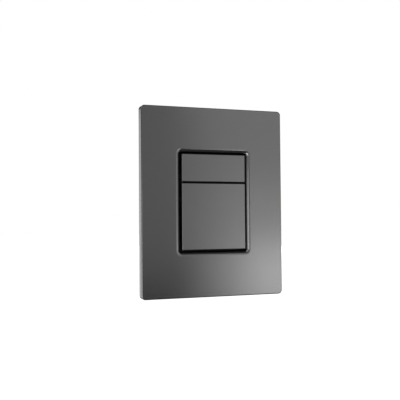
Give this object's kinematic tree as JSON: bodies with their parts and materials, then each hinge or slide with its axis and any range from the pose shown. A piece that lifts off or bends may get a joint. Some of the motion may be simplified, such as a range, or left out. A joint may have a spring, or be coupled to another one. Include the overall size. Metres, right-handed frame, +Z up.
{
  "type": "flush button plate",
  "caption": "Dual-flush button plate for a wall cistern: hinged flush buttons in a metal-finished plate press air bellows, and the plate snaps on to a studded wall frame.",
  "frame": {"origin": "middle of the plate on the wall's face, midway between the two fixing studs", "axes": "+X to the right seen from the room, +Y into the wall along the studs, +Z up"},
  "size_m": [0.156, 0.0606, 0.197],
  "materials": {
    "graphite_finish": "satin graphite metal plating on plastic",
    "button_finish": "satin graphite metal plating on plastic",
    "black_plastic": "moulded, fine grain",
    "grey_plastic": "moulded, smooth",
    "white_plastic": "moulded, fine grain",
    "black_rubber": "moulded, matt",
    "foam_rubber": "closed-cell foam",
    "pin_steel": "ground",
    "zinc_steel": "bright zinc",
    "spring_steel": "rolled strip"
  },
  "bodies": {
    "plate": {"face_plate": "graphite_finish", "button_carrier": "black_plastic", "small_hinge_pin": "pin_steel", "full_hinge_pin": "pin_steel", "small_bellows": "black_rubber", "full_bellows": "black_rubber", "small_pump_cup": "grey_plastic", "full_pump_cup": "grey_plastic", "small_button_buffers": "black_rubber", "full_button_buffers": "black_rubber", "carrier_screws": "zinc_steel", "mounting_frame": "white_plastic", "fixing_studs": "zinc_steel", "stud_washers": "zinc_steel", "upper_left_clip": "spring_steel", "upper_right_clip": "spring_steel", "lower_left_clip": "spring_steel", "lower_right_clip": "spring_steel", "wall_seal": "foam_rubber"},
    "small_button": {"small_flush_button": "button_finish"},
    "full_button": {"full_flush_button": "button_finish"}
  },
  "joints": [
    {"name": "small_button_hinge", "type": "hinge", "parent": "plate", "child": "small_button", "pos_m": [0, -0.0051, 0.04543], "axis": [1, 0, 0], "range_deg": [0, 10.5], "stiffness_Nm_per_rad": 0.8, "springref_deg": -6.88, "deforming": ["small_bellows"]},
    {"name": "full_button_hinge", "type": "hinge", "parent": "plate", "child": "full_button", "pos_m": [0, -0.0051, -0.04503], "axis": [-1, 0, 0], "range_deg": [0, 5.5], "stiffness_Nm_per_rad": 2.5, "springref_deg": -3.44, "deforming": ["full_bellows"]}
  ]
}
